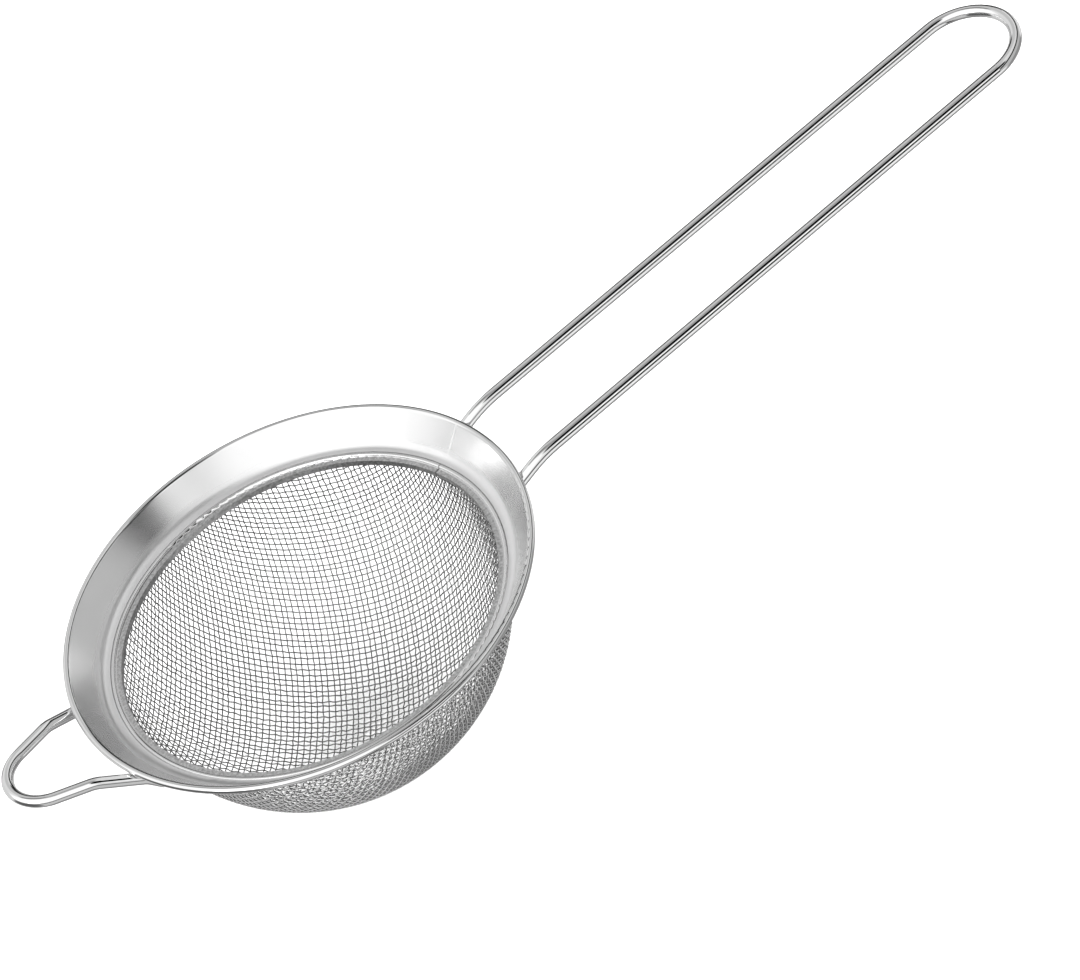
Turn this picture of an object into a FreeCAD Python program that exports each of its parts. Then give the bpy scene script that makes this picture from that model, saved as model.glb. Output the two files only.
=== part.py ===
import FreeCAD, Part
import math
import os
import Sketcher
from FreeCAD import Placement, Rotation, Vector

# Hand strainer: a hemispherical woven bowl hung in a flared sheet collar, with a
# U-shaped wire handle on +X and a small rest loop on -X.
# Frame: origin at the lowest point of the bowl on its axis, +Z up along the axis.

DRIVING = [
    ("rim_radius", 60.0, "outermost radius of the rolled rim"),
    ("rim_height", 54.1, "height of the rolled rim's centre above the bowl's lowest point"),
    ("bead_radius", 0.95, "outside radius of the rolled rim"),
    ("sheet_thick", 0.5, "sheet of the collar and of the clamp ring"),
    ("knee_radius", 52.6, "where the flare meets the flat ledge"),
    ("ledge_height", 46.9, "top of the ledge"),
    ("ledge_inner", 50.95, "inner edge of the ledge"),
    ("knee_bend", 3.0, "inside bend radius between ledge and flare"),
    ("ring_bead_radius", 0.6, "half-round bead of the clamp ring"),
    ("ring_bead_at", 50.3, "radius of the circle that the ring's bead follows"),
    ("ring_lip_inner", 48.3, "inner face of the clamp ring's turned-down lip"),
    ("ring_lip_drop", 1.6, "height of that lip"),
    ("ring_flange_outer", 51.8, "outer edge of the clamp ring, under the ledge"),
    ("ring_gap", 0.4, "gap between the two ends of the clamp ring"),
    ("ring_gap_angle", 14.6, "angle of that gap, from +X towards +Y"),
    ("bowl_radius", 50.6, "outside radius of the woven bowl"),
    ("cloth_thick", 0.64, "two wires of the cloth where they cross"),
    ("seam_rim_angle", 11.7, "angle of the collar's butt weld at the rolled rim"),
    ("seam_knee_angle", 14.3, "angle of the butt weld at the knee"),
    ("seam_width", 0.5, "width of the butt weld"),
    ("seam_proud", 0.06, "height of the butt weld above the collar"),
    ("handle_wire", 1.6, "radius of the handle's wire"),
    ("handle_half", 13.6, "half the distance between the handle's legs"),
    ("handle_tip", 227.0, "centre line of the handle at its far end"),
    ("handle_shoulder", 65.5, "where the handle's legs become straight"),
    ("handle_shoulder_height", 54.0, "height of the handle there"),
    ("handle_tip_height", 66.1, "height of the handle's far end"),
    ("handle_shoulder_bend", 28.0, "bend radius at the handle's shoulder"),
    ("rest_wire", 1.5, "radius of the rest loop's wire"),
    ("rest_tip", 81.5, "centre line of the rest loop at its far end"),
    ("rest_taper", 18.8, "angle of each leg of the rest loop to the centre plane"),
    ("rest_shoulder", 65.5, "where the rest loop's legs become level"),
    ("rest_shoulder_half", 12.8, "half the distance between its legs there"),
    ("rest_shoulder_height", 55.25, "height of the rest loop there"),
    ("rest_tip_height", 56.9, "height of the rest loop's far end"),
    ("rest_shoulder_bend", 7.0, "bend radius at the rest loop's shoulder"),
    ("foot_end", 55.1, "distance from the axis of a wire's welded end"),
    ("foot_bend", 4.0, "bend radius where a wire turns down under the collar"),
    ("handle_foot_height", 50.6, "height at which the handle's wire turns up under the rim"),
    ("rest_foot_height", 49.9, "height at which the rest loop's wire turns up under the rim"),
    ("weld_gap", 0.15, "weld metal between the collar and a wire"),
    ("weld_long", 1.9, "half length of a weld along its wire"),
    ("weld_wide", 1.5, "half width of a weld"),
    ("weld_deep", 0.9, "half depth of a weld"),
    ("weld_sunk", 0.45, "depth of a weld's centre below the top of its wire"),
]

doc = FreeCAD.newDocument("strainer")


def make_sheet():
    """The driving dimensions, one row each: name, value, meaning."""
    sheet = doc.addObject("Spreadsheet::Sheet", "sizes")
    for row, (alias, value, note) in enumerate(DRIVING, start=1):
        sheet.set(f"A{row}", alias)
        sheet.set(f"B{row}", str(value))
        sheet.set(f"C{row}", note)
        sheet.setAlias(f"B{row}", alias)
    doc.recompute()
    return sheet


sizes = make_sheet()


def size(alias):
    """The value of one driving dimension."""
    return float(sizes.get(alias))


# ---------------------------------------------------------------- sketch helpers

def new_body(label):
    body = doc.addObject("PartDesign::Body", label)
    body.Label = label
    return body


def origin_feature(body, role):
    return next(item for item in body.Origin.OriginFeatures if item.Role == role)


def section_sketch(body, name):
    """A sketch on the XZ plane: its x is the distance from the bowl's axis, its y the height."""
    sketch = body.newObject("Sketcher::SketchObject", name)
    sketch.AttachmentSupport = [(origin_feature(body, "XZ_Plane"), "")]
    sketch.MapMode = "FlatFace"
    return sketch


def bind(sketch, constraint, name, expression):
    """Add a dimension to the sketch and drive it from the sheet."""
    index = sketch.addConstraint(constraint)
    sketch.renameConstraint(index, name)
    sketch.setExpression(f"Constraints.{name}", expression)


def pin_point(sketch, name, place, value, radial, height):
    """Fix a point of the sketch at a distance from the axis and at a height."""
    geometry, end = place
    across = Sketcher.Constraint("DistanceX", -1, 1, geometry, end, value.x)
    up = Sketcher.Constraint("DistanceY", -1, 1, geometry, end, value.y)
    bind(sketch, across, name + "_r", radial)
    bind(sketch, up, name + "_z", height)


def join_ends(sketch, pairs):
    for first, first_end, second, second_end in pairs:
        sketch.addConstraint(Sketcher.Constraint("Coincident", first, first_end, second, second_end))


def outline(sketch, corners):
    """A closed outline of straight edges. corners: (name, radial expression, height expression, x, y)."""
    points = [Vector(x, y, 0) for _, _, _, x, y in corners]
    count = len(points)
    for index in range(count):
        sketch.addGeometry(Part.LineSegment(points[index], points[(index + 1) % count]), False)
    join_ends(sketch, [(index, 2, (index + 1) % count, 1) for index in range(count)])
    for index, (name, radial, height, _, _) in enumerate(corners):
        pin_point(sketch, name, (index, 1), points[index], radial, height)


def revolve(body, sketch, name, angle="360"):
    turn = body.newObject("PartDesign::Revolution", name)
    turn.Profile = sketch
    turn.ReferenceAxis = (origin_feature(body, "Z_Axis"), [""])
    turn.setExpression("Angle", angle)
    doc.recompute()
    return turn


def circular_edge(shape, radius, height):
    """The name of the horizontal circular edge at this radius and height."""
    for index, edge in enumerate(shape.Edges, start=1):
        curve = edge.Curve
        if not isinstance(curve, Part.Circle):
            continue
        if abs(curve.Radius - radius) < 0.01 and abs(curve.Center.z - height) < 0.01:
            return f"Edge{index}"
    raise RuntimeError(f"no circular edge at radius {radius:.2f}, height {height:.2f}")


def round_edge(body, base, name, edge, radius):
    fillet = body.newObject("PartDesign::Fillet", name)
    fillet.Base = (base, [edge])
    fillet.setExpression("Radius", radius)
    doc.recompute()
    return fillet


# ---------------------------------------------------------------- collar

def flare_line():
    """Ends of the flare's upper line: its tangent point on the rolled rim, and the knee."""
    centre = Vector(size("rim_radius") - size("bead_radius"), size("rim_height"), 0)
    knee = Vector(size("knee_radius"), size("ledge_height"), 0)
    span = centre - knee
    slope = math.atan2(span.y, span.x) + math.asin(size("bead_radius") / span.Length)
    normal = Vector(-math.sin(slope), math.cos(slope), 0)
    return centre + normal * size("bead_radius"), knee, slope


def collar_edges(sketch):
    """Rim arc, flare, ledge and their undersides, drawn near their places for the solver."""
    thick = size("sheet_thick")
    bead = size("bead_radius")
    tangent, knee, slope = flare_line()
    centre = Vector(size("rim_radius") - bead, size("rim_height"), 0)
    below = Vector(math.sin(slope), -math.cos(slope), 0) * thick
    under_knee = knee + Vector(thick * math.tan(slope / 2), -thick, 0)
    reach = math.sqrt(bead ** 2 - (bead - thick) ** 2)
    meet = tangent + below - Vector(math.cos(slope), math.sin(slope), 0) * reach
    inner = Vector(size("ledge_inner"), knee.y, 0)
    inner_under = inner - Vector(0, thick, 0)
    circle = Part.Circle(centre, Vector(0, 0, 1), bead)
    start = math.atan2(meet.y - centre.y, meet.x - centre.x)
    end = math.atan2(tangent.y - centre.y, tangent.x - centre.x)
    sketch.addGeometry(Part.ArcOfCircle(circle, start, end), False)
    corners = [tangent, knee, inner, inner_under, under_knee, meet]
    for first, second in zip(corners, corners[1:]):
        sketch.addGeometry(Part.LineSegment(first, second), False)
    return centre, knee, inner, inner_under


def make_collar():
    """One strip of sheet: rolled rim, flare, rounded knee and flat ledge."""
    body = new_body("rim_collar")
    sketch = section_sketch(body, "collar_section")
    centre, knee, inner, inner_under = collar_edges(sketch)
    join_ends(sketch, [(1, 2, 2, 1), (2, 2, 3, 1), (3, 2, 4, 1), (4, 2, 5, 1), (5, 2, 0, 1)])
    sketch.addConstraint(Sketcher.Constraint("Tangent", 0, 2, 1, 1))
    pin_point(sketch, "rim", (0, 3), centre, "sizes.rim_radius - sizes.bead_radius", "sizes.rim_height")
    bind(sketch, Sketcher.Constraint("Radius", 0, size("bead_radius")), "bead", "sizes.bead_radius")
    pin_point(sketch, "knee", (1, 2), knee, "sizes.knee_radius", "sizes.ledge_height")
    pin_point(sketch, "inner", (2, 2), inner, "sizes.ledge_inner", "sizes.ledge_height")
    pin_point(sketch, "under", (3, 2), inner_under,
              "sizes.ledge_inner", "sizes.ledge_height - sizes.sheet_thick")
    sketch.addConstraint(Sketcher.Constraint("Horizontal", 4))
    sketch.addConstraint(Sketcher.Constraint("Parallel", 1, 5))
    bind(sketch, Sketcher.Constraint("Distance", 1, 2, 5, size("sheet_thick")),
         "thick", "sizes.sheet_thick")
    hollow = Part.Circle(centre, Vector(0, 0, 1), size("bead_radius") - size("sheet_thick"))
    sketch.addGeometry(hollow, False)
    sketch.addConstraint(Sketcher.Constraint("Coincident", 6, 3, 0, 3))
    bind(sketch, Sketcher.Constraint("Radius", 6, hollow.Radius),
         "hollow", "sizes.bead_radius - sizes.sheet_thick")
    turned = revolve(body, sketch, "collar_turn")
    upper = circular_edge(turned.Shape, knee.x, knee.y)
    inside = round_edge(body, turned, "knee_inside", upper, "sizes.knee_bend")
    slope = flare_line()[2]
    under_knee = knee.x + size("sheet_thick") * math.tan(slope / 2)
    lower = circular_edge(inside.Shape, under_knee, knee.y - size("sheet_thick"))
    round_edge(body, inside, "knee_outside", lower, "sizes.knee_bend + sizes.sheet_thick")
    return body


def make_seam_skin():
    """A thin skin on top of the flare, wide enough to cut the weld's ridge from."""
    body = new_body("seam_skin")
    sketch = section_sketch(body, "skin_section")
    tangent, knee, slope = flare_line()
    along = Vector(math.cos(slope), math.sin(slope), 0)
    proud = Vector(-math.sin(slope), math.cos(slope), 0) * size("seam_proud")
    low = knee + along * (size("knee_bend") * math.tan(slope / 2))
    points = [low, tangent, tangent + proud, low + proud]
    for index in range(4):
        sketch.addGeometry(Part.LineSegment(points[index], points[(index + 1) % 4]), False)
    join_ends(sketch, [(index, 2, (index + 1) % 4, 1) for index in range(4)])
    for index, point in enumerate((low, tangent)):
        across = Sketcher.Constraint("DistanceX", -1, 1, index, 1, point.x)
        up = Sketcher.Constraint("DistanceY", -1, 1, index, 1, point.y)
        sketch.addConstraint([across, up])
    sketch.addConstraint(Sketcher.Constraint("Perpendicular", 0, 1))
    sketch.addConstraint(Sketcher.Constraint("Perpendicular", 3, 0))
    sketch.addConstraint(Sketcher.Constraint("Parallel", 0, 2))
    bind(sketch, Sketcher.Constraint("Distance", 1, 1, 1, 2, size("seam_proud")),
         "proud", "sizes.seam_proud")
    revolve(body, sketch, "skin_turn", "2 * sizes.seam_knee_angle")
    return body


def make_collar_seam():
    """The butt weld that closes the strip: a low ridge running slightly askew up the flare."""
    skin = make_seam_skin()
    inner = Vector(size("knee_radius"), 0, 0)
    outer = Vector(size("rim_radius"), 0, 0)
    up = Vector(0, 0, 1)
    start = Rotation(up, size("seam_knee_angle")).multVec(inner)
    end = Rotation(up, size("seam_rim_angle")).multVec(outer)
    run = (end - start).normalize()
    side = up.cross(run)
    slab = doc.addObject("Part::Box", "seam_slab")
    slab.setExpression("Length", "sizes.rim_radius - sizes.knee_radius + 2")
    slab.setExpression("Width", "sizes.seam_width")
    slab.setExpression("Height", "sizes.rim_height")
    corner = start - run - side * (size("seam_width") / 2) + up * (size("rim_height") / 2)
    slab.Placement = Placement(corner, Rotation(run, side, up, "ZXY"))
    seam = doc.addObject("Part::Common", "collar_seam")
    seam.Base = skin
    seam.Tool = slab
    seam.Label = "collar_seam"
    doc.recompute()
    return seam


# ---------------------------------------------------------------- clamp ring and bowl

def make_clamp_ring():
    """A split ring under the ledge: flange, half-round bead and a lip turned down inside the cloth."""
    body = new_body("clamp_ring")
    top = "sizes.ledge_height - sizes.sheet_thick"
    bottom = "sizes.ledge_height - 2 * sizes.sheet_thick"
    drop = top + " - sizes.ring_lip_drop"
    lip_back = "sizes.ring_lip_inner + sizes.sheet_thick"
    high = size("ledge_height") - size("sheet_thick")
    low = high - size("sheet_thick")
    end = high - size("ring_lip_drop")
    inner = size("ring_lip_inner")
    back = inner + size("sheet_thick")
    outer = size("ring_flange_outer")
    strip = section_sketch(body, "strip_section")
    outline(strip, [("lip_top", "sizes.ring_lip_inner", top, inner, high),
                    ("flange_top", "sizes.ring_flange_outer", top, outer, high),
                    ("flange_low", "sizes.ring_flange_outer", bottom, outer, low),
                    ("lip_corner", lip_back, bottom, back, low),
                    ("lip_back", lip_back, drop, back, end),
                    ("lip_end", "sizes.ring_lip_inner", drop, inner, end)])
    turn = "360 - sizes.ring_gap / sizes.ring_bead_at * 180 / pi"
    revolve(body, strip, "strip_turn", turn)
    bead = section_sketch(body, "bead_section")
    radius = size("ring_bead_radius")
    centre = Vector(size("ring_bead_at"), low + radius, 0)
    bead.addGeometry(Part.Circle(centre, Vector(0, 0, 1), radius), False)
    pin_point(bead, "centre", (0, 3), centre, "sizes.ring_bead_at", bottom + " + sizes.ring_bead_radius")
    bind(bead, Sketcher.Constraint("Radius", 0, radius), "bead", "sizes.ring_bead_radius")
    revolve(body, bead, "bead_turn", turn)
    start = size("ring_gap_angle") + math.degrees(size("ring_gap") / size("ring_bead_at")) / 2
    body.Placement = Placement(Vector(), Rotation(Vector(0, 0, 1), start))
    return body


def make_bowl():
    """The woven bowl as a thin closed shell: part of a sphere, cut off under the clamp ring."""
    body = new_body("mesh_bowl")
    sketch = section_sketch(body, "bowl_section")
    outer = size("bowl_radius")
    inner = outer - size("cloth_thick")
    top = size("ledge_height") - 2 * size("sheet_thick")
    centre = Vector(0, outer, 0)
    lift = top - outer
    outer_edge = Vector(math.sqrt(outer ** 2 - lift ** 2), top, 0)
    inner_edge = Vector(math.sqrt(inner ** 2 - lift ** 2), top, 0)
    lowest = -math.pi / 2
    for radius, edge in ((outer, outer_edge), (inner, inner_edge)):
        circle = Part.Circle(centre, Vector(0, 0, 1), radius)
        sketch.addGeometry(Part.ArcOfCircle(circle, lowest, math.atan2(lift, edge.x)), False)
    sketch.addGeometry(Part.LineSegment(outer_edge, inner_edge), False)
    sketch.addGeometry(Part.LineSegment(centre - Vector(0, inner, 0), Vector(0, 0, 0)), False)
    join_ends(sketch, [(0, 2, 2, 1), (2, 2, 1, 2), (1, 1, 3, 1), (3, 2, 0, 1), (0, 3, 1, 3)])
    sketch.addConstraint(Sketcher.Constraint("Horizontal", 2))
    sketch.addConstraint(Sketcher.Constraint("PointOnObject", 3, 1, -2))
    sketch.addConstraint(Sketcher.Constraint("PointOnObject", 3, 2, -2))
    pin_point(sketch, "centre", (0, 3), centre, "0 * sizes.bowl_radius", "sizes.bowl_radius")
    bind(sketch, Sketcher.Constraint("Radius", 0, outer), "outside", "sizes.bowl_radius")
    bind(sketch, Sketcher.Constraint("Radius", 1, inner), "inside",
         "sizes.bowl_radius - sizes.cloth_thick")
    bind(sketch, Sketcher.Constraint("DistanceY", -1, 1, 2, 1, top), "top",
         "sizes.ledge_height - 2 * sizes.sheet_thick")
    revolve(body, sketch, "bowl_turn")
    return body


# ---------------------------------------------------------------- bent wires

def bent_path(points, bends):
    """Straight runs joined by tangent arcs. bends: the bend radius at each inner point."""
    edges = []
    last = points[0]
    for before, corner, after, radius in zip(points, points[1:], points[2:], bends):
        back = (before - corner).normalize()
        ahead = (after - corner).normalize()
        half = back.getAngle(ahead) / 2
        start = corner + back * (radius / math.tan(half))
        end = corner + ahead * (radius / math.tan(half))
        towards = (back + ahead).normalize()
        middle = corner + towards * (radius / math.sin(half) - radius)
        if (start - last).Length > 0.001:
            edges.append(Part.LineSegment(last, start).toShape())
        edges.append(Part.Arc(start, middle, end).toShape())
        last = end
    edges.append(Part.LineSegment(last, points[-1]).toShape())
    return Part.Wire(edges)


def bent_wire(label, points, bends, radius):
    """A round wire along a bent path; radius is the expression that drives its thickness."""
    path = doc.addObject("Part::Feature", label + "_path")
    path.Shape = bent_path(points, bends)
    section = doc.addObject("Part::Circle", label + "_section")
    section.setExpression("Radius", radius)
    section.Placement = Placement(points[0], Rotation(Vector(0, 0, 1), points[1] - points[0]))
    wire = doc.addObject("Part::Sweep", label)
    wire.Sections = [section]
    wire.Spine = (path, [f"Edge{index + 1}" for index in range(len(path.Shape.Edges))])
    wire.Solid = True
    wire.Frenet = False
    wire.Label = label
    doc.recompute()
    return wire


def on_plan_line(shoulder, outward, radius):
    """The point of a leg's plan line, inwards of its shoulder, at a distance from the axis."""
    plan = Vector(shoulder.x, shoulder.y, 0)
    reach = plan.dot(outward)
    back = reach - math.sqrt(reach ** 2 - plan.Length ** 2 + radius ** 2)
    return plan - outward * back


def foot_points(shoulder, outward, wire_radius, bend_height):
    """The welded end of a leg, close under the flare, and the bend below the rolled rim."""
    tangent, _, slope = flare_line()
    clear = size("sheet_thick") + size("weld_gap") + wire_radius
    reach = tangent.x + clear * math.sin(slope)
    height = tangent.y - clear * math.cos(slope)
    end = on_plan_line(shoulder, outward, size("foot_end"))
    end.z = height - (reach - end.Length) * math.tan(slope)
    bend_radial = reach - (height - bend_height) / math.tan(slope)
    bend = on_plan_line(shoulder, outward, bend_radial)
    bend.z = bend_height
    return [end, bend]


def mirrored(points):
    return [Vector(point.x, -point.y, point.z) for point in reversed(points)]


def handle_points():
    """The handle's corner points, from the end of the +Y leg round to the other."""
    half = size("handle_half")
    shoulder = Vector(size("handle_shoulder"), half, size("handle_shoulder_height"))
    tip = Vector(size("handle_tip"), half, size("handle_tip_height"))
    foot = foot_points(shoulder, Vector(1, 0, 0), size("handle_wire"), size("handle_foot_height"))
    leg = foot + [shoulder, tip]
    return leg + mirrored(leg)


def make_handle():
    """A U of wire: two parallel legs joined by a half circle at the far end."""
    leg = [size("foot_bend"), size("handle_shoulder_bend"), size("handle_half")]
    return bent_wire("handle_loop", handle_points(), leg + leg[::-1], "sizes.handle_wire")


def rest_points():
    """The rest loop's corner points, from the end of the +Y leg to the legs' meeting point and back."""
    taper = math.radians(size("rest_taper"))
    shoulder = Vector(-size("rest_shoulder"), size("rest_shoulder_half"), size("rest_shoulder_height"))
    outward = Vector(-math.cos(taper), -math.sin(taper), 0)
    meeting = shoulder.x - shoulder.y / math.tan(taper)
    rise = (size("rest_tip_height") - shoulder.z) / (size("rest_tip") - size("rest_shoulder"))
    apex = Vector(meeting, 0, shoulder.z + rise * (shoulder.x - meeting))
    foot = foot_points(shoulder, outward, size("rest_wire"), size("rest_foot_height"))
    leg = foot + [shoulder]
    return leg + [apex] + mirrored(leg)


def make_rest():
    """A tapered loop of thinner wire with a round tip, opposite the handle."""
    taper = math.radians(size("rest_taper"))
    meeting = size("rest_shoulder") + size("rest_shoulder_half") / math.tan(taper)
    tip_bend = (meeting - size("rest_tip")) / (1 / math.sin(taper) - 1)
    leg = [size("foot_bend"), size("rest_shoulder_bend")]
    return bent_wire("rest_loop", rest_points(), leg + [tip_bend] + leg[::-1], "sizes.rest_wire")


# ---------------------------------------------------------------- welds

def make_welds(label, collar, wire, foot, wire_radius):
    """Two spot welds: the metal between the collar's underside and the ends of a wire."""
    end, bend = foot
    middle = (end + bend) * 0.5
    along = (bend - end).normalize()
    radial = Vector(middle.x, middle.y, 0).normalize()
    slope = flare_line()[2]
    towards = Vector(-radial.x * math.sin(slope), -radial.y * math.sin(slope), math.cos(slope))
    nugget = doc.addObject("Part::Ellipsoid", label + "_nugget")
    nugget.setExpression("Radius1", "sizes.weld_deep")
    nugget.setExpression("Radius2", "sizes.weld_long")
    nugget.setExpression("Radius3", "sizes.weld_wide")
    turn = Rotation(along, Vector(), towards, "ZXY")
    sunk = wire_radius - size("weld_sunk")
    nugget.Placement = Placement(middle + towards * sunk, turn)
    trimmed = doc.addObject("Part::Cut", label + "_under_collar")
    trimmed.Base = nugget
    trimmed.Tool = collar
    fitted = doc.addObject("Part::Cut", label + "_on_wire")
    fitted.Base = trimmed
    fitted.Tool = wire
    other = doc.addObject("Part::Mirroring", label + "_other")
    other.Source = fitted
    other.Normal = Vector(0, 1, 0)
    pair = doc.addObject("Part::Compound", label)
    pair.Links = [fitted, other]
    pair.Label = label
    doc.recompute()
    return pair


# ---------------------------------------------------------------- assembly and files

def check_model(subparts):
    """Stop if any object failed or any sub-part has no sound shape."""
    doc.recompute()
    for item in doc.Objects:
        if "Invalid" in item.State or "Error" in item.State:
            raise RuntimeError(f"{item.Label} failed: {item.State}")
    for item in subparts:
        if item.Shape.isNull() or not item.Shape.isValid() or not item.Shape.Solids:
            raise RuntimeError(f"{item.Label} has no valid solid")


def write_parts(subparts):
    os.makedirs("parts", exist_ok=True)
    for item in subparts:
        item.Shape.exportStep(f"parts/{item.Label}.step")
        print(f"{item.Label}: {len(item.Shape.Solids)} solid(s), {item.Shape.Volume:.1f} mm3")


def main():
    collar = make_collar()
    handle = make_handle()
    rest = make_rest()
    subparts = [
        collar,
        make_collar_seam(),
        make_clamp_ring(),
        make_bowl(),
        handle,
        rest,
        make_welds("handle_welds", collar, handle, handle_points()[:2], size("handle_wire")),
        make_welds("rest_welds", collar, rest, rest_points()[:2], size("rest_wire")),
    ]
    check_model(subparts)
    write_parts(subparts)


main()
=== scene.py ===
import math
from collections import namedtuple

import bpy
import numpy as np
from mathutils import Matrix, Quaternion, Vector


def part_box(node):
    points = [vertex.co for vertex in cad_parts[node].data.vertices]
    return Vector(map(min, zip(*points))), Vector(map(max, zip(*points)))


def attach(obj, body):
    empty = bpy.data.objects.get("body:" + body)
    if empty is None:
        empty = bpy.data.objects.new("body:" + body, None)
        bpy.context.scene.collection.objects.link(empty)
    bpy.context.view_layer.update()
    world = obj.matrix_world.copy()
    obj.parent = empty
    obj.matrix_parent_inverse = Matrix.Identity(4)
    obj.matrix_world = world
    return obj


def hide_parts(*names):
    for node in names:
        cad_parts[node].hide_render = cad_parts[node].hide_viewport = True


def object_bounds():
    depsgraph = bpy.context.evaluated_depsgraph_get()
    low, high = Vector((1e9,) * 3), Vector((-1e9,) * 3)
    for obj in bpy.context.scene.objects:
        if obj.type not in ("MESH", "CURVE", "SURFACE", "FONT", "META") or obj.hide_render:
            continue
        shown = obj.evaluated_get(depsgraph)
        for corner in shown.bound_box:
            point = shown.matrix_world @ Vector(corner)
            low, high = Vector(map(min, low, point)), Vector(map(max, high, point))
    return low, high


# A hand strainer of polished steel in a white studio: the CAD frame gives the collar,
# the clamp ring, the wires and the welds, and the bowl's cloth is woven here wire by wire.

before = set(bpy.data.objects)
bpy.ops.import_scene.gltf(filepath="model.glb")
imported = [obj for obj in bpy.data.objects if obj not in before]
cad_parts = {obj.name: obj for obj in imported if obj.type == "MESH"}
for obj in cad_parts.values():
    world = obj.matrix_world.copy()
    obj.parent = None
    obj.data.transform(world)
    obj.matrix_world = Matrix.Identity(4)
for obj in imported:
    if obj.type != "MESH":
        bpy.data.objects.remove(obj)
cad_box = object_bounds()
MM = 0.001

# ---------------------------------------------------------------- places read from the frame

BOWL_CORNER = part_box("mesh_bowl")[1]
BOWL_TOP = BOWL_CORNER.z
BOWL_RADIUS = (BOWL_CORNER.x ** 2 + BOWL_TOP ** 2) / (2 * BOWL_TOP)
BEAD_RADIUS = 0.95 * MM
RIM_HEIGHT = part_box("rim_collar")[1].z - BEAD_RADIUS

# The bowl's shape starts at the frame's origin, so its centre is one radius above it.
BOWL_CENTRE = (0, 0, BOWL_RADIUS)

# ---------------------------------------------------------------- node helpers


def feed(tree, value, socket):
    """Link another node's output to a socket, or give the socket a fixed value."""
    if isinstance(value, bpy.types.NodeSocket):
        tree.links.new(value, socket)
    else:
        socket.default_value = value


def grey(level):
    return (level, level, level, 1)


def new_material(name):
    material = bpy.data.materials.new(name)
    material.use_nodes = True
    tree = material.node_tree
    tree.nodes.clear()
    shader = tree.nodes.new("ShaderNodeBsdfPrincipled")
    output = tree.nodes.new("ShaderNodeOutputMaterial")
    tree.links.new(shader.outputs["BSDF"], output.inputs["Surface"])
    return material, shader, tree


def object_space(tree):
    return tree.nodes.new("ShaderNodeTexCoord").outputs["Object"]


def noise(tree, vector, scale, detail=3.0):
    node = tree.nodes.new("ShaderNodeTexNoise")
    node.inputs["Scale"].default_value = scale
    node.inputs["Detail"].default_value = detail
    tree.links.new(vector, node.inputs["Vector"])
    return node.outputs["Fac"]


def spread(tree, value, low, high, from_low=0.3, from_high=0.7):
    """Map a value onto low to high. Most of a noise lies between 0.3 and 0.7."""
    node = tree.nodes.new("ShaderNodeMapRange")
    node.inputs["From Min"].default_value = from_low
    node.inputs["From Max"].default_value = from_high
    node.inputs["To Min"].default_value = low
    node.inputs["To Max"].default_value = high
    tree.links.new(value, node.inputs["Value"])
    return node.outputs["Result"]


def mix(tree, kind, factor, first, second):
    """Two colours (kind RGBA) or two numbers (kind FLOAT), mixed by a factor."""
    node = tree.nodes.new("ShaderNodeMix")
    node.data_type = kind
    feed(tree, factor, node.inputs["Factor"])
    feed(tree, first, node.inputs["A"])
    feed(tree, second, node.inputs["B"])
    return node.outputs["Result"]


def calculate(tree, operation, first, second):
    node = tree.nodes.new("ShaderNodeMath")
    node.operation = operation
    feed(tree, first, node.inputs[0])
    feed(tree, second, node.inputs[1])
    return node.outputs["Value"]


def vector_math(tree, operation, first, second=None):
    """The result of one step with vectors: a number for a length or a dot product."""
    node = tree.nodes.new("ShaderNodeVectorMath")
    node.operation = operation
    feed(tree, first, node.inputs[0])
    if second is not None:
        feed(tree, second, node.inputs[1])
    return node.outputs["Value" if operation in ("LENGTH", "DOT_PRODUCT") else "Vector"]


def bump(tree, height, shader, strength, distance):
    node = tree.nodes.new("ShaderNodeBump")
    node.inputs["Strength"].default_value = strength
    node.inputs["Distance"].default_value = distance
    tree.links.new(height, node.inputs["Height"])
    tree.links.new(node.outputs["Normal"], shader.inputs["Normal"])


def axis_distance(tree):
    """How far a point is from the bowl's axis."""
    return vector_math(tree, "LENGTH", vector_math(tree, "MULTIPLY", object_space(tree), (1, 1, 0)))


def around_axis(tree, across, along):
    """Coordinates that run round the bowl's axis, so that a noise is drawn out into rings."""
    split = tree.nodes.new("ShaderNodeSeparateXYZ")
    tree.links.new(object_space(tree), split.inputs["Vector"])
    angle = calculate(tree, "ARCTAN2", split.outputs["Y"], split.outputs["X"])
    joined = tree.nodes.new("ShaderNodeCombineXYZ")
    for source, target, scale in (
        (axis_distance(tree), "X", across),
        (split.outputs["Z"], "Y", across),
        (angle, "Z", along),
    ):
        tree.links.new(calculate(tree, "MULTIPLY", source, scale), joined.inputs[target])
    return joined.outputs["Vector"]


def outward_facing(tree, centre):
    """How far a surface faces away from a centre: 1 outwards, -1 inwards."""
    away = vector_math(tree, "NORMALIZE", vector_math(tree, "SUBTRACT", object_space(tree), centre))
    normal = tree.nodes.new("ShaderNodeNewGeometry").outputs["Normal"]
    return vector_math(tree, "DOT_PRODUCT", away, normal)


# ---------------------------------------------------------------- materials

# Distances from the bowl's axis where the look of the collar and of the ring changes.
LIP_EDGE = 49.4 * MM
BEAD_POLISHED = LIP_EDGE + 0.2 * MM
KNEE_EDGE = 53.0 * MM
FLARE_LOW = 54.5 * MM
RIM_EDGE = 58.0 * MM
RIM_POLISHED = RIM_EDGE + 0.4 * MM

LEDGE_ROUGH = 0.36
FLARE_ROUGH = 0.22
RIM_ROUGH = 0.05
LIP_ROUGH = 0.36
BEAD_ROUGH = 0.08
BEAD_GREY = 0.84

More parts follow.
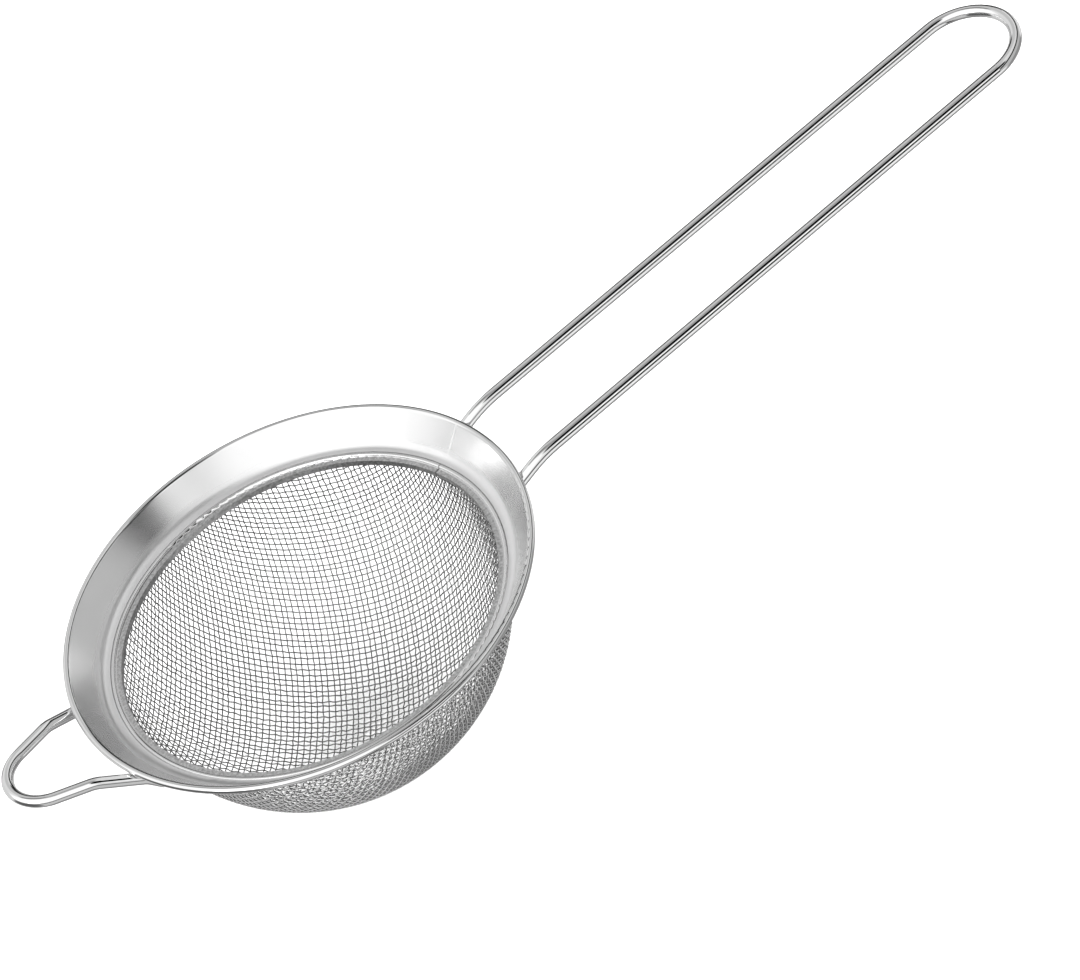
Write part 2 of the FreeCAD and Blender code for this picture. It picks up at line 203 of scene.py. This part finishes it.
# The cloth's wires are painted lighter as they face out of the bowl, a painted sheen that stands in
# for the bright table they mirror there, between these two values of outward_facing.
PAINTED_SHEEN_FACING = (0.15, 0.55)
INSIDE_DARK = 0.24
INSIDE_LIGHT = 0.37
PAINTED_SHEEN_GREY = 0.95


def new_metal(name):
    material, shader, tree = new_material(name)
    shader.inputs["Metallic"].default_value = 1.0
    return material, shader, tree


def steel(name, dark, light, scale):
    """Metal whose grey changes softly from place to place, and the noise that it follows."""
    material, shader, tree = new_metal(name)
    patches = noise(tree, object_space(tree), scale)
    colour = mix(tree, "RGBA", spread(tree, patches, 0, 1), grey(dark), grey(light))
    tree.links.new(colour, shader.inputs["Base Color"])
    return material, shader, tree, patches


def polished_sheet():
    """The collar: soft polish on the flare, softer in the knee, and a bright rolled rim."""
    material, shader, tree, patches = steel("polished_sheet", dark=0.80, light=0.86, scale=60)
    distance = axis_distance(tree)
    flare = spread(tree, distance, LEDGE_ROUGH, FLARE_ROUGH, KNEE_EDGE, FLARE_LOW)
    rim = spread(tree, distance, 0, RIM_ROUGH - FLARE_ROUGH, RIM_EDGE, RIM_POLISHED)
    wear = spread(tree, patches, -0.03, 0.04)
    roughness = calculate(tree, "ADD", calculate(tree, "ADD", flare, rim), wear)
    tree.links.new(roughness, shader.inputs["Roughness"])
    rings = noise(tree, around_axis(tree, across=9000, along=3), scale=1.0, detail=2.0)
    bump(tree, rings, shader, strength=0.05, distance=0.02 * MM)
    return material


def satin_strip():
    """The clamp ring: a polished bead, and a lip that is left dull and mottled."""
    material, shader, tree = new_metal("satin_strip")
    bead = spread(tree, axis_distance(tree), 0, 1, LIP_EDGE, BEAD_POLISHED)
    mottle = spread(tree, noise(tree, object_space(tree), scale=1400, detail=4.0), 0, 1)
    patchy_grey = mix(tree, "RGBA", mottle, grey(0.36), grey(0.72))
    tree.links.new(mix(tree, "RGBA", bead, patchy_grey, grey(BEAD_GREY)), shader.inputs["Base Color"])
    tree.links.new(spread(tree, bead, LIP_ROUGH, BEAD_ROUGH, 0, 1), shader.inputs["Roughness"])
    grain = noise(tree, object_space(tree), scale=2600, detail=2.0)
    bump(tree, grain, shader, strength=0.15, distance=0.05 * MM)
    return material


def cloth_wire():
    """Drawn wire in patchy grey, with a painted sheen that makes it lighter where it faces out of
    the bowl.
    """
    material, shader, tree = new_metal("cloth_wire")
    patches = spread(tree, noise(tree, object_space(tree), scale=500), 0, 1)
    patchy_grey = mix(tree, "RGBA", patches, grey(INSIDE_DARK), grey(INSIDE_LIGHT))
    # painted sheen: the wire's grey is painted lighter where it faces out of the bowl
    painted_outward_sheen = spread(tree, outward_facing(tree, BOWL_CENTRE), 0, 1, *PAINTED_SHEEN_FACING)
    colour = mix(tree, "RGBA", painted_outward_sheen, patchy_grey, grey(PAINTED_SHEEN_GREY))
    tree.links.new(colour, shader.inputs["Base Color"])
    tree.links.new(spread(tree, patches, 0.08, 0.14, 0, 1), shader.inputs["Roughness"])
    grain = noise(tree, object_space(tree), scale=6000, detail=2.0)
    bump(tree, grain, shader, strength=0.10, distance=0.01 * MM)
    return material


def grained_steel(name, greys, gloss, patch_scale, grain_scale, grain_detail, strength, depth):
    """Steel with soft patches, from dark and smooth to light and rough, and a fine grain."""
    material, shader, tree, patches = steel(name, *greys, patch_scale)
    tree.links.new(spread(tree, patches, *gloss), shader.inputs["Roughness"])
    grain = noise(tree, object_space(tree), grain_scale, grain_detail)
    bump(tree, grain, shader, strength, depth)
    return material


def polished_wire():
    return grained_steel(
        "polished_wire", greys=(0.84, 0.90), gloss=(0.03, 0.07), patch_scale=90,
        grain_scale=700, grain_detail=2.0, strength=0.06, depth=0.02 * MM,
    )


def seam_metal():
    return grained_steel(
        "seam_metal", greys=(0.88, 0.95), gloss=(0.38, 0.50), patch_scale=900,
        grain_scale=3000, grain_detail=2.0, strength=0.10, depth=0.02 * MM,
    )


def weld_metal():
    return grained_steel(
        "weld_metal", greys=(0.45, 0.66), gloss=(0.34, 0.55), patch_scale=900,
        grain_scale=3000, grain_detail=3.0, strength=0.40, depth=0.06 * MM,
    )


def dress(node, material):
    """Give a CAD node its material."""
    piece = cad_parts[node]
    piece.data.materials.clear()
    piece.data.materials.append(material)


# ---------------------------------------------------------------- woven cloth

PITCH = 1.50 * MM
WIRE_RADIUS = 0.165 * MM
CLOTH_ANGLE = math.radians(56)
CLOTH_RADIUS = BOWL_RADIUS - 2 * WIRE_RADIUS
CLOTH_TOP = BOWL_TOP - 0.1 * MM

# The net is laid on a sphere of radius 1 round its centre, in equal steps of one pitch. Its two
# main wires run NET_ARC radians each way from the lowest point, and the rest of the net may
# stop at the height NET_TOP: both are past the bowl's rim.
STEP_ANGLE = PITCH / CLOTH_RADIUS
NET_ARC = 2.3
NET_STEPS = int(NET_ARC / STEP_ANGLE)
NET_TOP = 0.25
TINY = 1e-9

# How far whole wires and single crossings stray, in steps of the net.
WIRE_WANDER = 0.07
CROSSING_WANDER = 0.035
WANDER_SEED = 4

# How finely a wire is drawn: points from crossing to crossing, and sides of its round section.
STEPS = 4
SIDES = 6
PIECES_OF_A_FAMILY = 3


def next_crossing(first, second, shared):
    """The point on the unit sphere one step from two crossings, on the far side from a third."""
    cosine = math.cos(STEP_ANGLE)
    together = float(first @ second)
    base = (first + second) * (cosine / (1 + together))
    rest = 1 - float(base @ base)
    normal = np.cross(first, second)
    length = np.linalg.norm(normal)
    if rest <= 0 or length < TINY:
        return None
    lift = normal / length * math.sqrt(rest)
    one, other = base + lift, base - lift
    return one if one @ shared < other @ shared else other


def quarter_net():
    """One quarter of an even net of equal steps laid on the unit sphere from its lowest point."""
    net = np.full((NET_STEPS + 1, NET_STEPS + 1, 3), np.nan)
    for index in range(NET_STEPS + 1):
        turn = index * STEP_ANGLE
        net[index, 0] = (math.sin(turn), 0, -math.cos(turn))
        net[0, index] = (0, math.sin(turn), -math.cos(turn))
    for row in range(1, NET_STEPS + 1):
        for column in range(1, NET_STEPS + 1):
            first, second = net[row - 1, column], net[row, column - 1]
            if np.isnan(first).any() or np.isnan(second).any():
                continue
            if first[2] > NET_TOP and second[2] > NET_TOP:
                continue
            point = next_crossing(first, second, net[row - 1, column - 1])
            if point is not None:
                net[row, column] = point
    return net


def whole_net():
    """The quarter net mirrored into all four quarters, and turned to the cloth's direction."""
    quarter = quarter_net()
    net = np.full((2 * NET_STEPS + 1, 2 * NET_STEPS + 1, 3), np.nan)
    steps = np.arange(NET_STEPS + 1)
    for across in (1, -1):
        for along in (1, -1):
            spots = np.ix_(NET_STEPS + across * steps, NET_STEPS + along * steps)
            net[spots] = quarter * (across, along, 1)
    cosine, sine = math.cos(CLOTH_ANGLE), math.sin(CLOTH_ANGLE)
    turn = np.array([[cosine, sine, 0], [-sine, cosine, 0], [0, 0, 1]])
    return net @ turn


def wander(dice, wires, crossings):
    """How far each crossing strays: with its whole wire, and by itself."""
    return dice.normal(0, WIRE_WANDER, wires) + dice.normal(0, CROSSING_WANDER, crossings)


def uneven(net):
    """Shift the wires a little to either side, as a pressed cloth has them."""
    dice = np.random.default_rng(WANDER_SEED)
    rows, columns = net.shape[:2]
    shift_across = wander(dice, (rows, 1), (rows, columns))
    shift_along = wander(dice, (1, columns), (rows, columns))
    padded = np.pad(net, ((1, 1), (1, 1), (0, 0)), constant_values=np.nan)
    across = np.nan_to_num((padded[2:, 1:-1] - padded[:-2, 1:-1]) / 2)
    along = np.nan_to_num((padded[1:-1, 2:] - padded[1:-1, :-2]) / 2)
    moved = net + across * shift_across[..., None] + along * shift_along[..., None]
    return moved / np.linalg.norm(moved, axis=2, keepdims=True)


def stretches(kept, least):
    """Where a row of true and false marks stays true for at least so many places."""
    edges = np.flatnonzero(np.diff(np.concatenate(([0], kept.astype(int), [0]))))
    return [slice(start, end) for start, end in zip(edges[::2], edges[1::2]) if end - start >= least]


def crimped(crossings, sides):
    """Points along one wire that passes each crossing on the side given: 1 outside, -1 inside."""
    spots = []
    for here in range(len(crossings) - 1):
        for step in range(STEPS):
            part = step / STEPS
            direction = crossings[here] * (1 - part) + crossings[here + 1] * part
            direction /= np.linalg.norm(direction)
            crimp = sides[here] * math.cos(math.pi * part)
            spots.append(direction * (CLOTH_RADIUS + crimp * WIRE_RADIUS))
    return np.array(spots) + BOWL_CENTRE


def wire_lines(crossings, first_side):
    """The centre lines of one wire: over and under its neighbours, from rim to rim."""
    sides = first_side * (-1.0) ** np.arange(len(crossings))
    lines = []
    for run in stretches(~np.isnan(crossings).any(axis=1), least=2):
        spots = crimped(crossings[run], sides[run])
        lines += [spots[below] for below in stretches(spots[:, 2] < CLOTH_TOP, least=3)]
    return lines


def tube(line):
    """Vertices and side faces of a round wire along a line on the bowl."""
    ahead = np.gradient(line, axis=0)
    ahead /= np.linalg.norm(ahead, axis=1, keepdims=True)
    outward = line - BOWL_CENTRE
    outward -= ahead * (outward * ahead).sum(1, keepdims=True)
    outward /= np.linalg.norm(outward, axis=1, keepdims=True)
    sideways = np.cross(ahead, outward)
    turns = (np.arange(SIDES) * (2 * math.pi / SIDES))[None, :, None]
    ring = outward[:, None] * np.cos(turns) + sideways[:, None] * np.sin(turns)
    points = (line[:, None] + ring * WIRE_RADIUS).reshape(-1, 3)
    here = np.arange(len(line) - 1)[:, None] * SIDES
    side = np.arange(SIDES)[None, :]
    after = (side + 1) % SIDES
    corners = [here + side, here + after, here + SIDES + after, here + SIDES + side]
    return points, np.stack(corners, axis=2).reshape(-1, 4)


def wire_mesh(name, lines):
    """One mesh of many wires, each closed at both ends."""
    points, walls, caps = [], [], []
    base = 0
    for line in lines:
        spots, faces = tube(line)
        points.append(spots)
        walls.append(faces + base)
        last = base + len(spots) - SIDES
        caps.append(list(range(base + SIDES - 1, base - 1, -1)))
        caps.append(list(range(last, last + SIDES)))
        base += len(spots)
    mesh = bpy.data.meshes.new(name)
    mesh.from_pydata(np.concatenate(points).tolist(), [], np.concatenate(walls).tolist() + caps)
    mesh.polygons.foreach_set("use_smooth", [True] * len(mesh.polygons))
    mesh.update()
    piece = bpy.data.objects.new(name, mesh)
    bpy.context.scene.collection.objects.link(piece)
    return piece


def weave_bowl(material):
    """The bowl's cloth: two families of wires, in a few pieces each."""
    net = uneven(whole_net())
    families = {"warp": [], "weft": []}
    for index in range(len(net)):
        side = 1.0 if index % 2 == 0 else -1.0
        families["warp"] += wire_lines(net[index], side)
        families["weft"] += wire_lines(net[:, index], -side)
    for family, lines in families.items():
        share = math.ceil(len(lines) / PIECES_OF_A_FAMILY)
        for part in range(PIECES_OF_A_FAMILY):
            piece = wire_mesh(f"cloth_{family}_{part + 1}", lines[part * share:(part + 1) * share])
            piece.data.materials.append(material)
            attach(piece, "root")
            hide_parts("mesh_bowl")


# ---------------------------------------------------------------- studio

# The camera's side and height in degrees, and the point that it looks at, from the rim's centre.
VIEW_AZIMUTH = -10.4
VIEW_ELEVATION = 42.16
VIEW_DISTANCE = 0.8
VIEW_TARGET = Vector((58.4, -23.1, 0)) * MM
VIEW_ROLL = -25.8
LENS_MM = 111.97
SENSOR_MM = 36
FAR_CLIP = 100

TABLE_SIZE = 30
TABLE_GAP = 0.05 * MM
TABLE_GREY = 0.93

# Brightness of the white room, and of its walls where the steel mirrors them.
ROOM = 2.0
WALL = 0.80

# A soft round panel: where its middle is, in degrees from the camera's side and from the
# horizon, the angles where it starts and ends to fade, and its brightness.
Panel = namedtuple("Panel", "azimuth elevation inner outer brightness")

# Later panels lie over earlier ones.
PANELS = [
    # the ceiling and the back of the room
    Panel(180, 88, 14, 24, 0.35),
    Panel(172, 54, 16, 26, 0.60),
    Panel(-145, 64, 8, 14, 0.20),
    Panel(168, 14, 16, 22, 0.03),
    # a wide window on the left with a bright middle
    Panel(-60, 24, 46, 66, 1.20),
    Panel(-62, 30, 9, 18, 3.60),
    # a dark band round the horizon, and the table below it
    Panel(0, -90, 97, 101, 0.25),
    Panel(0, -90, 78, 84, 0.60),
    # a black ring round the right side, grey inside it and darker in its middle
    Panel(84, -30, 75, 79, 0.02),
    Panel(84, -30, 61, 65, 0.52),
    Panel(88, -26, 24, 34, 0.30),
    # the back of the table, and three small lights near it
    Panel(180, -45, 40, 48, 0.60),
    Panel(-128, -2, 20, 28, 0.74),
    Panel(121, -6, 12, 20, 0.88),
    Panel(162, -26, 4, 10, 1.00),
    # dark and light patches near the camera, which the wires mirror as lines
    Panel(32, 57, 15, 20, 0.00),
    Panel(24, -2, 8, 12, 0.01),
    Panel(25, -32, 18, 26, 0.95),
    Panel(25, 25, 6, 11, 1.10),
    Panel(-80, -24, 22, 32, 0.12),
    # the shade under the strainer
    Panel(0, -90, 26, 42, 0.28),
]


def direction(azimuth, elevation):
    """A unit vector from two angles in degrees: azimuth 0 is -Y, positive towards +X."""
    turn, lift = math.radians(azimuth), math.radians(elevation)
    return (math.sin(turn) * math.cos(lift), -math.cos(turn) * math.cos(lift), math.sin(lift))


def lay_over(tree, vector, below, panel):
    """Lay one panel over the brightness so far."""
    towards = vector_math(tree, "DOT_PRODUCT", vector, direction(panel.azimuth, panel.elevation))
    edge = tree.nodes.new("ShaderNodeMapRange")
    edge.interpolation_type = "SMOOTHSTEP"
    edge.inputs["From Min"].default_value = math.cos(math.radians(panel.outer))
    edge.inputs["From Max"].default_value = math.cos(math.radians(panel.inner))
    tree.links.new(towards, edge.inputs["Value"])
    return mix(tree, "FLOAT", edge.outputs["Result"], below, panel.brightness)


def studio_world():
    """White walls with soft panels that the steel mirrors, and plain white for everything else."""
    world = bpy.data.worlds.new("studio")
    bpy.context.scene.world = world
    world.use_nodes = True
    tree = world.node_tree
    tree.nodes.clear()
    turned = tree.nodes.new("ShaderNodeMapping")
    turned.vector_type = "POINT"
    turned.inputs["Rotation"].default_value = (0, 0, -math.radians(VIEW_AZIMUTH))
    coordinates = tree.nodes.new("ShaderNodeTexCoord").outputs["Generated"]
    tree.links.new(coordinates, turned.inputs["Vector"])
    vector = vector_math(tree, "NORMALIZE", turned.outputs["Vector"])
    level = WALL
    for panel in PANELS:
        level = lay_over(tree, vector, level, panel)
    mirrored = tree.nodes.new("ShaderNodeLightPath").outputs["Is Glossy Ray"]
    background = tree.nodes.new("ShaderNodeBackground")
    background.inputs["Color"].default_value = grey(1)
    tree.links.new(mix(tree, "FLOAT", mirrored, ROOM, level), background.inputs["Strength"])
    output = tree.nodes.new("ShaderNodeOutputWorld")
    tree.links.new(background.outputs["Background"], output.inputs["Surface"])


def floor():
    """A wide white table top that the steel doesn't mirror."""
    material, shader, _ = new_material("white_table")
    shader.inputs["Base Color"].default_value = grey(TABLE_GREY)
    shader.inputs["Roughness"].default_value = 1.0
    shader.inputs["Specular IOR Level"].default_value = 0.0
    table_top = (0, 0, cad_box[0].z - TABLE_GAP)
    bpy.ops.mesh.primitive_plane_add(size=TABLE_SIZE, location=table_top)
    table = bpy.context.object
    table.name = "table"
    table.data.materials.append(material)
    table.visible_glossy = False


def camera():
    """A long lens, turned about its own axis so that the handle rises to the right."""
    data = bpy.data.cameras.new("camera")
    data.lens = LENS_MM
    data.sensor_width = SENSOR_MM
    data.clip_end = FAR_CLIP
    view = bpy.data.objects.new("camera", data)
    bpy.context.scene.collection.objects.link(view)
    rim_centre = Vector((0, 0, RIM_HEIGHT))
    view.location = rim_centre + Vector(direction(VIEW_AZIMUTH, VIEW_ELEVATION)) * VIEW_DISTANCE
    target = rim_centre + VIEW_TARGET
    roll = Quaternion((0, 0, 1), math.radians(VIEW_ROLL))
    view.rotation_mode = "QUATERNION"
    view.rotation_quaternion = (target - view.location).to_track_quat("-Z", "Y") @ roll
    bpy.context.scene.camera = view


# ---------------------------------------------------------------- the scene

wire = polished_wire()
weld = weld_metal()
dress("rim_collar", polished_sheet())
dress("clamp_ring", satin_strip())
dress("handle_loop", wire)
dress("rest_loop", wire)
dress("collar_seam", seam_metal())
dress("handle_welds", weld)
dress("rest_welds", weld)
weave_bowl(cloth_wire())
studio_world()
floor()
camera()
bpy.context.scene.view_settings.view_transform = "Standard"
